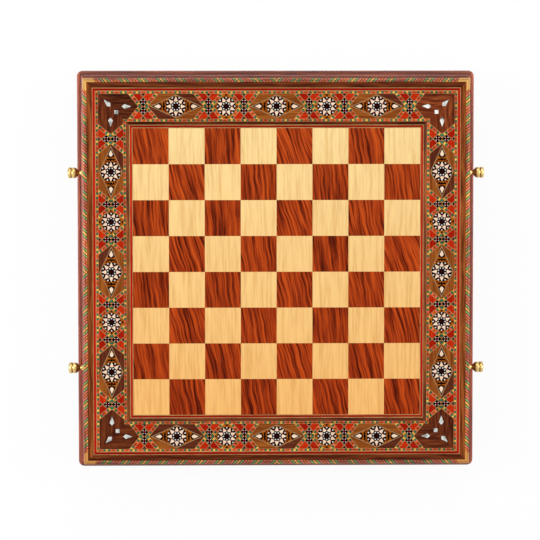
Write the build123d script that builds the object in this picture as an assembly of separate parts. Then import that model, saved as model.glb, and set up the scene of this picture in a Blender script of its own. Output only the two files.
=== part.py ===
from build123d import *
import os
from math import cos, hypot, pi, sin, sqrt

# A square chess board with marquetry borders, on a shallow case with two drawers.
# Millimetres, +Z up, -Y is the front. The origin is under the middle of the board,
# on the surface that the case stands on.

# Playing field
SQUARES = 8
SQUARE = 36.0
FIELD_DROP = 1.5
PANEL_THICKNESS = 5.5
PANEL_LEDGE = 7.5

# Inlaid lines and bands, from the field out to the edge
TAN_LINE = 0.8
RED_LINE = 1.9
INNER_BEVEL = 3.0
TESSERA_BAND = 2.6
MOSAIC_STRIP = 25.1
RIM_FLAT = 5.6
ROPE_WIDTH = 4.0
ROPE_HEIGHT = 4.0
ROPE_ROUND = 1.6
TIP_LENGTH = 13.0
TIP_LEAN = 2.5
VENEER = 1.0
GLUE_LINE = 0.04

# Mosaic strip: crosses of two chevron bands, with lozenges and stars between them
CHEVRON_BAND = 4.7
CHEVRON_RUN = 10.3
CROSS_GAP = 0.3
DIAMOND_HALF = 3.8
STAR_CELL_FLAT = 2.35
LOZENGE_END_GAP = 1.15
LOZENGE_SIDE_GAP = 0.65
LOZENGE_RIM = 1.1
STAR_SIDES = 16
CORNER_TAIL = 4.65

# Mother-of-pearl pieces in each corner
PEARL_LENGTH = 10.5
PEARL_HALF_WIDTH = 2.65
PEARL_SHOULDER = 3.1
PEARL_ARM = 10.7
PEARL_CORNER = 0.3
PEARL_SQUARE = 4.4
PEARL_SQUARE_IN = 5.7

# Case
TOP_HEIGHT = 12.0
BAY_HEIGHT = 36.0
WALL = 10.0
PARTITION = 8.0
DADO = 3.0
BASE_THICKNESS = 5.0
BASE_INSET = 4.0
FIT = 0.1

# Plinth moulding
PLINTH_HEIGHT = 12.0
PLINTH_OVERHANG = 8.5
PLINTH_LEDGE = 14.0
PLINTH_CORNER = 6.0
STEP_HEIGHT = 8.2
STEP_WIDTH = 2.9
STEP_ROUND = 1.2
QUIRK_WIDTH = 1.2
QUIRK_DEPTH = 0.8

# Joinery
SPLINE_LENGTH = 40.0
SPLINE_WIDTH = 20.0
SPLINE_THICKNESS = 3.0
DOWEL_RADIUS = 3.0
DOWEL_IN_WALL = 10.0
DOWEL_IN_RAIL = 7.0
DOWEL_PLACES = (60.0, 140.0)
SCREW_RADIUS = 1.75
SCREW_HEAD_RADIUS = 3.5
SCREW_HEAD_HEIGHT = 2.0
SCREW_LENGTH = 30.0
SCREW_SINK = 0.4
SCREW_SLOT = 0.8
SCREW_PLACES = (45.0, 150.0)
PARTITION_SCREW_PLACES = (0.0, 120.0)

# Drawers
SIDE_GAP = 0.5
RUN_GAP = 0.3
END_GAP = 0.5
FRONT_THICKNESS = 12.0
FRONT_RABBET = 6.0
DRAWER_WALL = 8.0
BOTTOM_THICKNESS = 3.0
BOTTOM_LIFT = 2.5
BOTTOM_GROOVE = 4.0
LINING = 1.0
LINING_GAP = 0.3
DIVIDER = 4.0
DIVIDER_HEIGHT = 22.0
CELLS = 8

# Turned knobs with a threaded tail and a nut
KNOB_SPACING = 198.0
KNOB_FOOT_RADIUS = 4.0
KNOB_FOOT = 1.0
KNOB_FLARE = 4.5
FLARE_HOLLOW = 0.3
KNOB_NECK_RADIUS = 1.5
KNOB_CONE = 3.8
KNOB_RING = 3.3
KNOB_RING_SWELL = 0.35
KNOB_RADIUS = 5.1
KNOB_HEAD = 3.6
KNOB_HEAD_SWELL = 0.55
KNOB_DOME = 1.1
TAIL_RADIUS = 1.5
TAIL_PAST_NUT = 0.6
NUT_FLATS = 5.5
NUT_THICKNESS = 2.4
NUT_POCKET_RADIUS = 4.5
NUT_POCKET_DEPTH = 4.0

# Distances out from the middle of the board
field_half = SQUARES / 2 * SQUARE
field_red_in = field_half + TAN_LINE
field_red_out = field_red_in + RED_LINE
panel_half = field_red_out + TAN_LINE
rail_in = panel_half + FIT
ledge_in = panel_half - PANEL_LEDGE
inner_band = rail_in + INNER_BEVEL
strip_in = inner_band + TESSERA_BAND
strip_out = strip_in + MOSAIC_STRIP
outer_band = strip_out + TESSERA_BAND
border_red_in = outer_band + TAN_LINE
border_red_out = border_red_in + RED_LINE
rim_in = border_red_out + TAN_LINE
rope_in = rim_in + RIM_FLAT
top_half = rope_in + ROPE_WIDTH
plinth_half = top_half + PLINTH_OVERHANG
plinth_axis = plinth_half - PLINTH_CORNER
base_half = top_half - BASE_INSET
plinth_in = base_half - PLINTH_LEDGE
wall_in = top_half - WALL
wall_middle = top_half - WALL / 2

# Heights
base_low = PLINTH_HEIGHT - BASE_THICKNESS
bay_low = PLINTH_HEIGHT
bay_high = bay_low + BAY_HEIGHT
top_high = bay_high + TOP_HEIGHT
border_low = top_high - VENEER
rope_low = top_high - ROPE_HEIGHT
field_high = top_high - FIELD_DROP
panel_high = field_high - VENEER
panel_low = panel_high - PANEL_THICKNESS

# Mosaic strip, about the middle line of one side
strip_half = MOSAIC_STRIP / 2
strip_middle = strip_in + strip_half
slope = strip_half / CHEVRON_RUN
notch = CHEVRON_BAND + CROSS_GAP
last_cross = strip_in - CORNER_TAIL - CHEVRON_RUN - notch
star_cell = 2 * (notch + CHEVRON_RUN + STAR_CELL_FLAT)
lozenge_cell = (2 * last_cross - 2 * star_cell) / 3
cross_places = [
    sign * place
    for place in (lozenge_cell / 2, lozenge_cell / 2 + star_cell, last_cross)
    for sign in (-1, 1)
]
lozenge_places = [-lozenge_cell - star_cell, 0, lozenge_cell + star_cell]
star_places = [-(lozenge_cell + star_cell) / 2, (lozenge_cell + star_cell) / 2]
lozenge_half = lozenge_cell / 2 - notch - LOZENGE_END_GAP
lozenge_rise = strip_half - LOZENGE_SIDE_GAP
lozenge_star = lozenge_half * lozenge_rise / hypot(lozenge_half, lozenge_rise) - LOZENGE_RIM
cell_half = star_cell / 2 - notch
cell_star = cell_half * strip_half / hypot(CHEVRON_RUN, strip_half)

# Drawer, the right-hand one
drawer_half = wall_in - SIDE_GAP
drawer_inner = drawer_half - DRAWER_WALL
drawer_back = PARTITION / 2 + END_GAP
room_back = drawer_back + DRAWER_WALL
front_in = top_half - FRONT_THICKNESS
drawer_low = bay_low + RUN_GAP
drawer_high = bay_high - RUN_GAP
bottom_low = drawer_low + BOTTOM_LIFT
bottom_high = bottom_low + BOTTOM_THICKNESS
lining_high = bottom_high + LINING
cell_pitch = 2 * drawer_inner / CELLS
knob_height = (drawer_low + drawer_high) / 2

SIDES = ("back", "left", "front", "right")
PROFILE = Plane(origin=(0, 0, 0), x_dir=(0, 1, 0), z_dir=(1, 0, 0))

nodes = {}


def block(x, y, z):
    """Box between a low and a high limit along each axis."""
    middle = [(low + high) / 2 for low, high in (x, y, z)]
    return Pos(*middle) * Box(x[1] - x[0], y[1] - y[0], z[1] - z[0])


def plate(points, low, high, holes=()):
    """Flat piece with a straight-edged plan outline, between two heights."""
    outline, *inner = [
        Wire.make_polygon([(x, y, low) for x, y in loop], close=True) for loop in (points, *holes)
    ]
    return Solid.extrude(Face(outline, inner), Vector(0, 0, high - low))


def turned(points, quarters):
    """Plan points turned anticlockwise by quarter turns about the middle of the board."""
    for _ in range(quarters):
        points = [(-y, x) for x, y in points]
    return points


def mirrored(points):
    """Outline mirrored left to right, still anticlockwise."""
    return [(-x, y) for x, y in reversed(points)]


def flipped(points):
    """Outline mirrored top to bottom, still anticlockwise."""
    return [(x, -y) for x, y in reversed(points)]


def inset(points, gap):
    """Anticlockwise outline with every edge moved inwards."""
    lines = []
    for (x0, y0), (x1, y1) in zip(points, points[1:] + points[:1]):
        length = hypot(x1 - x0, y1 - y0)
        nx, ny = (y0 - y1) / length, (x1 - x0) / length
        lines.append((nx, ny, nx * x0 + ny * y0 + gap))
    corners = []
    for (ax, ay, a), (bx, by, b) in zip(lines[-1:] + lines[:-1], lines):
        turn = ax * by - ay * bx
        corners.append(((a * by - b * ay) / turn, (ax * b - bx * a) / turn))
    return corners


def veneer(points, low, holes=()):
    """Sheet of veneer, with half a glue line left along each edge."""
    return plate(inset(points, GLUE_LINE / 2), low, low + VENEER, holes)


def mitred_lines(near, far, low):
    """Four straight lines of veneer round the board, mitred at its corners."""
    plan = [(-near, near), (near, near), (far, far), (-far, far)]
    return [veneer(turned(plan, quarter), low) for quarter in range(4)]


def on_strips(shapes, shift):
    """Flat pieces placed about one point of the mosaic strip, on all four sides."""
    pieces = []
    for quarter in range(4):
        for shape in shapes:
            plan = [(u + shift, strip_middle + v) for u, v in shape]
            pieces.append(veneer(turned(plan, quarter), border_low))
    return pieces


def round_polygon(radius):
    """Outline of a star medallion, with a flat on each axis."""
    angles = [2 * pi / STAR_SIDES * (i + 0.5) for i in range(STAR_SIDES)]
    return [(radius * cos(angle), radius * sin(angle)) for angle in angles]


def drop_outline(x, y, direction):
    """Pearl drop from its blunt end at x, y to its tip along a unit direction."""
    ex, ey = direction
    shoulder_x, shoulder_y = x + PEARL_SHOULDER * ex, y + PEARL_SHOULDER * ey
    wide_x, wide_y = -PEARL_HALF_WIDTH * ey, PEARL_HALF_WIDTH * ex
    return [
        (x, y),
        (shoulder_x - wide_x, shoulder_y - wide_y),
        (x + PEARL_LENGTH * ex, y + PEARL_LENGTH * ey),
        (shoulder_x + wide_x, shoulder_y + wide_y),
    ]


def quarter_arc(start, centre, end):
    """Quarter circle between two points about a centre."""
    middle = tuple(c + (s - c + e - c) / sqrt(2) for s, c, e in zip(start, centre, end))
    return ThreePointArc(start, middle, end)


def length_of(section, half):
    """Section drawn as distance out and height, run along the back side of the board."""
    return extrude(Pos(-half, 0, 0) * (PROFILE * section), amount=2 * half, dir=(1, 0, 0))


def polygon_face(points):
    return make_face(Polyline(*points, close=True))


def wedge():
    """The quarter of the plan that belongs to the back side."""
    reach = 2 * plinth_half
    return plate([(0, 0), (reach, reach), (-reach, reach)], -1, top_high + 1)


def on_side(shape, side):
    return Rot(0, 0, 90 * SIDES.index(side)) * shape


def screw(clearance=0.0):
    """Countersunk wood screw standing head down on the origin, or the hole for it."""
    shank = SCREW_RADIUS + clearance
    head = SCREW_HEAD_RADIUS + clearance
    outline = [
        (0, 0),
        (head, 0),
        (shank, SCREW_HEAD_HEIGHT),
        (shank, SCREW_LENGTH + clearance),
        (0, SCREW_LENGTH + clearance),
    ]
    return revolve(Plane.XZ * polygon_face(outline), Axis.Z)


def slotted_screw():
    slot = block(
        (-SCREW_HEAD_RADIUS, SCREW_HEAD_RADIUS), (-SCREW_SLOT / 2, SCREW_SLOT / 2), (0, SCREW_SLOT)
    )
    return screw() - slot


def screw_spots():
    """Where the base screws stand: under both walls and under the partition."""
    along = wall_in + SCREW_HEAD_RADIUS - FIT
    walls = [
        Pos(sx * x, sy * along, SCREW_SINK) for x in SCREW_PLACES for sx in (-1, 1) for sy in (-1, 1)
    ]
    rows = sorted({sign * y for y in PARTITION_SCREW_PLACES for sign in (-1, 1)})
    return walls + [Pos(0, y, base_low + SCREW_SINK) for y in rows]


def screw_holes():
    """Clearance holes for the base screws, open at the underside."""
    way_in = Pos(0, 0, -SCREW_SINK / 2) * Cylinder(SCREW_HEAD_RADIUS + FIT, SCREW_SINK)
    return [spot * (screw(FIT) + way_in) for spot in screw_spots()]


def dowel_spots():
    return [
        (sx * x, sy * wall_middle) for x in DOWEL_PLACES for sx in (-1, 1) for sy in (-1, 1)
    ]


def dowel(clearance=0.0):
    """Wall dowel about the joint between wall and rail, or the hole for it."""
    low = bay_high - DOWEL_IN_WALL - clearance
    high = bay_high + DOWEL_IN_RAIL + clearance
    return Pos(0, 0, (low + high) / 2) * Cylinder(DOWEL_RADIUS + clearance, high - low)


def dowel_holes():
    return [Pos(x, y) * dowel(FIT / 2) for x, y in dowel_spots()]


def spline(clearance=0.0):
    """Flat key across one mitre of the top frame, or the slot for it."""
    middle = (rail_in + top_half) / 2
    height = (panel_low + rope_low) / 2
    size = [SPLINE_LENGTH, SPLINE_WIDTH, SPLINE_THICKNESS]
    key = Box(*[length + 2 * clearance for length in size])
    return Pos(middle, middle, height) * Rot(0, 0, 45) * key


def plinth_rail():
    """Rail of the plinth on the back side, with its stepped moulding and rounded ends."""
    body = polygon_face([
        (plinth_in, 0),
        (plinth_axis, 0),
        (plinth_axis, PLINTH_HEIGHT),
        (base_half, PLINTH_HEIGHT),
        (base_half, base_low),
        (plinth_in, base_low),
    ])
    step_in = plinth_half - STEP_WIDTH
    quirk_in = step_in - QUIRK_WIDTH
    quirk_low = STEP_HEIGHT - QUIRK_DEPTH
    ovolo = quirk_in - plinth_axis
    moulding = make_face([
        Polyline((plinth_axis, 0), (plinth_half, 0), (plinth_half, STEP_HEIGHT - STEP_ROUND)),
        quarter_arc(
            (plinth_half, STEP_HEIGHT - STEP_ROUND),
            (plinth_half - STEP_ROUND, STEP_HEIGHT - STEP_ROUND),
            (plinth_half - STEP_ROUND, STEP_HEIGHT),
        ),
        Polyline(
            (plinth_half - STEP_ROUND, STEP_HEIGHT),
            (step_in, STEP_HEIGHT),
            (step_in, quirk_low),
            (quirk_in, quirk_low),
            (quirk_in, PLINTH_HEIGHT - ovolo),
        ),
        quarter_arc(
            (quirk_in, PLINTH_HEIGHT - ovolo),
            (plinth_axis, PLINTH_HEIGHT - ovolo),
            (plinth_axis, PLINTH_HEIGHT),
        ),
        Line((plinth_axis, PLINTH_HEIGHT), (plinth_axis, 0)),
    ])
    rail = length_of(body, plinth_half) & wedge()
    rail += length_of(moulding, plinth_axis)
    for sign in (-1, 1):
        end = Pos(sign * plinth_axis, 0, 0) * (PROFILE * moulding)
        corner = Axis((sign * plinth_axis, plinth_axis, 0), (0, 0, -sign))
        rail += revolve(end, corner, revolution_arc=45)
    return rail


def frame_rail():
    """Mitred rail of the top frame on the back side: ledge, veneer recess, bevel and edge rabbet."""
    section = polygon_face([
        (ledge_in, bay_high),
        (top_half, bay_high),
        (top_half, rope_low),
        (rope_in, rope_low),
        (rope_in, top_high),
        (rim_in, top_high),
        (rim_in, border_low),
        (inner_band, border_low),
        (inner_band, top_high),
        (rail_in, field_high),
        (rail_in, panel_low),
        (ledge_in, panel_low),
    ])
    return length_of(section, top_half) & wedge()


def rope_section():
    """Edging strip with its outer top corner rounded."""
    round_low = top_high - ROPE_ROUND
    round_in = top_half - ROPE_ROUND
    return make_face([
        Polyline((round_in, top_high), (rope_in, top_high), (rope_in, rope_low)),
        Polyline((rope_in, rope_low), (top_half, rope_low), (top_half, round_low)),
        quarter_arc((top_half, round_low), (round_in, round_low), (round_in, top_high)),
    ])


def cut(shape, holes):
    for hole in holes:
        shape = shape - hole
    return shape


def make_base():
    holes = screw_holes()
    base = block((-base_half + FIT, base_half - FIT), (-base_half + FIT, base_half - FIT), (base_low, bay_low))
    nodes["base_panel"] = [cut(base, holes)]
    for side in SIDES:
        rail = on_side(plinth_rail(), side)
        nodes["plinth_" + side] = [cut(rail, holes) if side in ("front", "back") else rail]
    nodes["base_screws"] = [spot * slotted_screw() for spot in screw_spots()]


def make_walls():
    holes = screw_holes() + dowel_holes()
    rest = PARTITION / 2 + FIT
    board = block((-top_half, top_half), (wall_in, top_half), (bay_low, bay_high))
    board -= block((-rest, rest), (wall_in, wall_in + DADO), (bay_low, bay_high))
    for side in ("front", "back"):
        nodes["wall_" + side] = [cut(on_side(board, side), holes)]
    end = wall_in + DADO - FIT
    rib = ledge_in - FIT
    thick = (-PARTITION / 2, PARTITION / 2)
    partition = block(thick, (-end, end), (bay_low, bay_high))
    partition += block(thick, (-rib, rib), (bay_high, panel_low))
    nodes["centre_partition"] = [cut(partition, screw_holes())]
    nodes["wall_dowels"] = [Pos(x, y) * dowel() for x, y in dowel_spots()]


def make_top_frame():
    slots = [Rot(0, 0, 90 * quarter) * spline(FIT) for quarter in range(4)]
    for side in SIDES:
        nodes["frame_rail_" + side] = [cut(on_side(frame_rail(), side), slots + dowel_holes())]
    nodes["mitre_splines"] = [Rot(0, 0, 90 * quarter) * spline() for quarter in range(4)]
    panel = block((-panel_half, panel_half), (-panel_half, panel_half), (panel_low, panel_high))
    nodes["field_panel"] = [panel]


def make_edging():
    """Rope edging between light corner tips, all cut from the same rounded strip."""
    strip = length_of(rope_section(), top_half)
    tip_in = top_half - TIP_LENGTH
    tip_out = tip_in + TIP_LEAN
    rope_plan = [(-tip_in, rope_in), (tip_in, rope_in), (tip_out, top_half), (-tip_out, top_half)]
    tip_plan = [(tip_in, rope_in), (rope_in, rope_in), (top_half, top_half), (tip_out, top_half)]
    rope = strip & plate(rope_plan, 0, top_high)
    tips = [strip & plate(plan, 0, top_high) for plan in (tip_plan, mirrored(tip_plan))]
    nodes["rope_edging"] = [on_side(rope, side) for side in SIDES]
    nodes["edge_corner_tips"] = [on_side(tip, side) for side in SIDES for tip in tips]


def make_field():
    shades = {0: [], 1: []}
    for column in range(SQUARES):
        for row in range(SQUARES):
            x, y = column * SQUARE - field_half, field_half - row * SQUARE
            corners = [(x, y - SQUARE), (x + SQUARE, y - SQUARE), (x + SQUARE, y), (x, y)]
            shades[(column + row) % 2].append(veneer(corners, panel_high))
    nodes["dark_squares"], nodes["light_squares"] = shades[0], shades[1]
    nodes["field_red_stringing"] = mitred_lines(field_red_in, field_red_out, panel_high)
    nodes["field_tan_stringing"] = (
        mitred_lines(field_half, field_red_in, panel_high)
        + mitred_lines(field_red_out, panel_half, panel_high)
    )


def make_border_lines():
    nodes["inner_tessera_band"] = mitred_lines(inner_band, strip_in, border_low)
    nodes["outer_tessera_band"] = mitred_lines(strip_out, outer_band, border_low)
    nodes["border_red_stringing"] = mitred_lines(border_red_in, border_red_out, border_low)
    nodes["border_tan_stringing"] = (
        mitred_lines(outer_band, border_red_in, border_low)
        + mitred_lines(border_red_out, rim_in, border_low)
    )


def make_crosses():
    """Two chevron bands back to back, with a diamond, two kites and a triangle in each notch."""
    arm_out = notch + CHEVRON_RUN
    arm_in = CROSS_GAP + CHEVRON_RUN
    chevron = [
        (notch, 0),
        (arm_out, strip_half),
        (arm_in, strip_half),
        (CROSS_GAP, 0),
        (arm_in, -strip_half),
        (arm_out, -strip_half),
    ]
    shoulder = (DIAMOND_HALF - CROSS_GAP) * slope
    peak = shoulder + DIAMOND_HALF * slope
    spread = (strip_half - peak) / slope
    diamond = [
        (-CROSS_GAP, 0),
        (CROSS_GAP, 0),
        (DIAMOND_HALF, shoulder),
        (0, peak),
        (-DIAMOND_HALF, shoulder),
    ]
    triangle = [(0, peak), (spread, strip_half), (-spread, strip_half)]
    kite = [(DIAMOND_HALF, shoulder), (arm_in, strip_half), (spread, strip_half), (0, peak)]
    kites = [kite, mirrored(kite), flipped(kite), mirrored(flipped(kite))]
    shapes = {
        "cross_chevrons": [chevron, mirrored(chevron)],
        "cross_diamonds": [diamond, flipped(diamond)],
        "edge_triangles": [triangle, flipped(triangle)],
        "red_kites": kites,
    }
    for name, outlines in shapes.items():
        nodes[name] = [piece for place in cross_places for piece in on_strips(outlines, place)]


def make_lozenges():
    """Lozenge tablets round a star, with a wedge of golden or dark wood at each of their four sides."""
    cell_end = lozenge_cell / 2 - notch
    cell_top = cell_end - CHEVRON_RUN
    ground = [
        (0, strip_half),
        (-cell_top, strip_half),
        (-cell_end, 0),
        (-lozenge_half, 0),
        (0, lozenge_rise),
    ]
    golden = [ground, mirrored(flipped(ground))]
    dark = [mirrored(ground), flipped(ground)]
    tablet = [(lozenge_half, 0), (0, lozenge_rise), (-lozenge_half, 0), (0, -lozenge_rise)]
    star = round_polygon(lozenge_star)
    nodes["golden_grounds"] = []
    nodes["dark_grounds"] = []
    nodes["lozenges"] = []
    nodes["star_medallions"] = []
    for place in lozenge_places:
        nodes["golden_grounds"] += on_strips(golden, place)
        nodes["dark_grounds"] += on_strips(dark, place)
        nodes["star_medallions"] += on_strips([star], place)
        for quarter in range(4):
            plan, hole = [
                turned([(u + place, strip_middle + v) for u, v in loop], quarter)
                for loop in (tablet, star)
            ]
            nodes["lozenges"].append(veneer(plan, border_low, [hole]))


def make_stars():
    """Star medallions between two crosses, with a small piece at each corner of their cell."""
    side_rise = (cell_half - cell_star) * slope
    end = [(cell_star, -side_rise), (cell_half, 0), (cell_star, side_rise)]
    foot = cell_half - cell_star / slope
    top = [
        (foot, cell_star),
        (STAR_CELL_FLAT, strip_half),
        (-STAR_CELL_FLAT, strip_half),
        (-foot, cell_star),
    ]
    nodes["star_cell_corners"] = []
    for place in star_places:
        nodes["star_medallions"] += on_strips([round_polygon(cell_star)], place)
        nodes["star_cell_corners"] += on_strips([end, mirrored(end), top, flipped(top)], place)


def make_corners():
    """Two mitred halves of walnut in each corner, with three pearl drops and a pearl square."""
    arm = last_cross + notch
    tail = arm + CHEVRON_RUN
    half = [
        (arm, strip_middle),
        (tail, strip_in),
        (strip_in, strip_in),
        (strip_out, strip_out),
        (tail, strip_out),
    ]
    other = [(y, x) for x, y in reversed(half)]
    diagonal = 1 / sqrt(2)
    arm_end = strip_middle - PEARL_ARM
    tip_start = strip_middle - PEARL_CORNER
    drops = [
        drop_outline(arm_end, strip_middle, (-1, 0)),
        drop_outline(strip_middle, arm_end, (0, -1)),
        drop_outline(tip_start, tip_start, (diagonal, diagonal)),
    ]
    low = strip_middle - PEARL_SQUARE_IN - PEARL_SQUARE / 2
    high = low + PEARL_SQUARE
    square = [(low, low), (high, low), (high, high), (low, high)]
    pockets = [plate(outline, border_low, top_high) for outline in (*drops, square)]
    halves = [cut(veneer(outline, border_low), pockets) for outline in (half, other)]
    turns = [Rot(0, 0, 90 * quarter) for quarter in range(4)]
    nodes["corner_panels"] = [turn * piece for turn in turns for piece in halves]
    nodes["pearl_drops"] = [turn * veneer(outline, border_low) for turn in turns for outline in drops]
    nodes["pearl_squares"] = [turn * veneer(square, border_low) for turn in turns]


def knob():
    """Turned brass knob along +X: tail, foot, flared neck, cone, ring, head and domed face."""
    tail_end = -(FRONT_THICKNESS - NUT_POCKET_DEPTH + NUT_THICKNESS + TAIL_PAST_NUT)
    neck = KNOB_FOOT + KNOB_FLARE
    ring = neck + KNOB_CONE
    head = ring + KNOB_RING
    face = head + KNOB_HEAD
    tip = face + KNOB_DOME
    flare_middle = (KNOB_FOOT + KNOB_FLARE / 2, (KNOB_FOOT_RADIUS + KNOB_NECK_RADIUS) / 2 - FLARE_HOLLOW)
    dome_radius = (KNOB_DOME**2 + KNOB_RADIUS**2) / (2 * KNOB_DOME)
    dome_middle = (tip - dome_radius + sqrt(dome_radius**2 - KNOB_RADIUS**2 / 4), KNOB_RADIUS / 2)
    outline = make_face([
        Polyline((tip, 0), (tail_end, 0), (tail_end, TAIL_RADIUS), (0, TAIL_RADIUS)),
        Polyline((0, TAIL_RADIUS), (0, KNOB_FOOT_RADIUS), (KNOB_FOOT, KNOB_FOOT_RADIUS)),
        ThreePointArc((KNOB_FOOT, KNOB_FOOT_RADIUS), flare_middle, (neck, KNOB_NECK_RADIUS)),
        Line((neck, KNOB_NECK_RADIUS), (ring, KNOB_RADIUS)),
        ThreePointArc(
            (ring, KNOB_RADIUS), ((ring + head) / 2, KNOB_RADIUS + KNOB_RING_SWELL), (head, KNOB_RADIUS)
        ),
        ThreePointArc(
            (head, KNOB_RADIUS), ((head + face) / 2, KNOB_RADIUS + KNOB_HEAD_SWELL), (face, KNOB_RADIUS)
        ),
        ThreePointArc((face, KNOB_RADIUS), dome_middle, (tip, 0)),
    ])
    return revolve(outline, Axis.X)


def knob_nut():
    """Hexagon nut along +X, with its bearing face on the origin."""
    face = RegularPolygon(NUT_FLATS / sqrt(3), 6) - Circle(TAIL_RADIUS + FIT / 2)
    return Rot(0, -90, 0) * extrude(face, amount=NUT_THICKNESS, dir=(0, 0, 1))


def drawer_front(knob_spots, groove):
    """Drawer front with rabbets for the sides, a groove for the bottom and nut pockets behind the knobs."""
    rabbet = front_in + FRONT_RABBET
    front = plate(
        [
            (front_in, -drawer_inner),
            (rabbet, -drawer_inner),
            (rabbet, -drawer_half),
            (top_half, -drawer_half),
            (top_half, drawer_half),
            (rabbet, drawer_half),
            (rabbet, drawer_inner),
            (front_in, drawer_inner),
        ],
        drawer_low,
        drawer_high,
    )
    along = Rot(0, 90, 0)
    hole = Pos(-FRONT_THICKNESS / 2, 0, 0) * along * Cylinder(TAIL_RADIUS + FIT, FRONT_THICKNESS)
    pocket_middle = -FRONT_THICKNESS + NUT_POCKET_DEPTH / 2
    hole += Pos(pocket_middle, 0, 0) * along * Cylinder(NUT_POCKET_RADIUS, NUT_POCKET_DEPTH)
    return cut(front, [groove] + [spot * hole for spot in knob_spots])


def dividers():
    """Lengthwise divider and the cross dividers, halved together over the lining."""
    high = lining_high + DIVIDER_HEIGHT
    halving = lining_high + DIVIDER_HEIGHT / 2
    middle = (room_back + front_in) / 2
    slot = DIVIDER / 2 + FIT
    long_divider = block(
        (middle - DIVIDER / 2, middle + DIVIDER / 2),
        (-drawer_inner + LINING_GAP, drawer_inner - LINING_GAP),
        (lining_high, high),
    )
    cross_dividers = []
    for index in range(1, CELLS):
        y = index * cell_pitch - drawer_inner
        cross = block(
            (room_back + LINING_GAP, front_in - LINING_GAP),
            (y - DIVIDER / 2, y + DIVIDER / 2),
            (lining_high, high),
        )
        notch_in_cross = block(
            (middle - slot, middle + slot), (y - DIVIDER, y + DIVIDER), (lining_high, halving + FIT)
        )
        cross_dividers.append(cross - notch_in_cross)
        long_divider -= block((middle - DIVIDER, middle + DIVIDER), (y - slot, y + slot), (halving, high))
    return long_divider, cross_dividers


def drawer():
    """Pieces of the right-hand drawer, by name."""
    knob_spots = [Pos(top_half, sign * KNOB_SPACING / 2, knob_height) for sign in (-1, 1)]
    reach = drawer_inner + BOTTOM_GROOVE
    groove_x = (room_back - BOTTOM_GROOVE, front_in + BOTTOM_GROOVE)
    groove = block(groove_x, (-reach, reach), (bottom_low - FIT / 2, bottom_high + FIT / 2))
    bottom = block(
        (groove_x[0] + FIT, groove_x[1] - FIT), (-reach + FIT, reach - FIT), (bottom_low, bottom_high)
    )
    heights = (drawer_low, drawer_high)
    side = block((drawer_back, front_in + FRONT_RABBET), (drawer_inner, drawer_half), heights) - groove
    back = block((drawer_back, room_back), (-drawer_inner, drawer_inner), heights) - groove
    lining = block(
        (room_back + LINING_GAP, front_in - LINING_GAP),
        (-drawer_inner + LINING_GAP, drawer_inner - LINING_GAP),
        (bottom_high, lining_high),
    )
    long_divider, cross_dividers = dividers()
    nut_spot = Pos(NUT_POCKET_DEPTH - FRONT_THICKNESS, 0, 0)
    return {
        "front": [drawer_front(knob_spots, groove)],
        "back": [back],
        "side_back": [side],
        "side_front": [mirror(side, Plane.XZ)],
        "bottom": [bottom],
        "felt_lining": [lining],
        "long_divider": [long_divider],
        "cross_dividers": cross_dividers,
        "knobs": [spot * knob() for spot in knob_spots],
        "knob_nuts": [spot * nut_spot * knob_nut() for spot in knob_spots],
    }


def make_drawers():
    swapped = {"side_back": "side_front", "side_front": "side_back"}
    for name, pieces in drawer().items():
        nodes["drawer_right_" + name] = pieces
        nodes["drawer_left_" + swapped.get(name, name)] = [Rot(0, 0, 180) * piece for piece in pieces]


def write_nodes():
    os.makedirs("parts", exist_ok=True)
    for name, pieces in nodes.items():
        solids = [solid for piece in pieces for solid in piece.solids()]
        shape = solids[0] if len(solids) == 1 else Compound(solids)
        shape.label = name
        export_step(shape, "parts/" + name + ".step")


make_base()
make_walls()
make_top_frame()
make_edging()
make_field()
make_border_lines()
make_crosses()
make_lozenges()
make_stars()
make_corners()
make_drawers()
write_nodes()
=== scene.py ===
from math import atan2, cos, hypot, pi, radians, sin, tan

import bpy
from mathutils import Matrix, Vector


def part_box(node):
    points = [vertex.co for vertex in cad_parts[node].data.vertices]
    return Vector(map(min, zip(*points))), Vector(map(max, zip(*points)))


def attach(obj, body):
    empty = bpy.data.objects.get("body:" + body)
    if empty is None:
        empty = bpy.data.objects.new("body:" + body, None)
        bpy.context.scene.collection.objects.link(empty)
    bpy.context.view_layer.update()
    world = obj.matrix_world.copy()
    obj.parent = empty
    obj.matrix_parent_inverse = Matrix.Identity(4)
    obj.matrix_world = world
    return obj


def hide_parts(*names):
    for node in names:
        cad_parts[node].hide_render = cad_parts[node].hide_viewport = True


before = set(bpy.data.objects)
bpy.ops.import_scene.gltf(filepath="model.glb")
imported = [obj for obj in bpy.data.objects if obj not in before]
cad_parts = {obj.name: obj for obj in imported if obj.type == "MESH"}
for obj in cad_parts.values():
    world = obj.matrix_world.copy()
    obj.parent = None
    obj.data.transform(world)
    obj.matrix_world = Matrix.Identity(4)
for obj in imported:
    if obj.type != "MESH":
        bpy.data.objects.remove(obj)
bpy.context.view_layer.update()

bl_info = {
    "name": "Inlaid Chess Board",
    "version": (1, 0, 0),
    "blender": (4, 5, 0),
    "location": "3D View > Sidebar > Chess Board",
    "description": "Finishes a chess board with drawers and lays its mosaic borders piece by piece",
    "category": "Object",
}

MM = 0.001
FIELD_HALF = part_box("light_squares")[1][0]

# Heights of the inlay in millimetres: a bed, a middle layer on it and the flush top
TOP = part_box("outer_tessera_band")[1][2] / MM
BED_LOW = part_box("outer_tessera_band")[0][2] / MM
BED = TOP - 0.15
MIDDLE = TOP - 0.08

# Gaps and steps that keep two pieces from sharing a face, in millimetres
STEP = 0.02
HAIR = 0.03
SEAM = 0.05
CHEVRON_SEAM = 0.08

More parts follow.
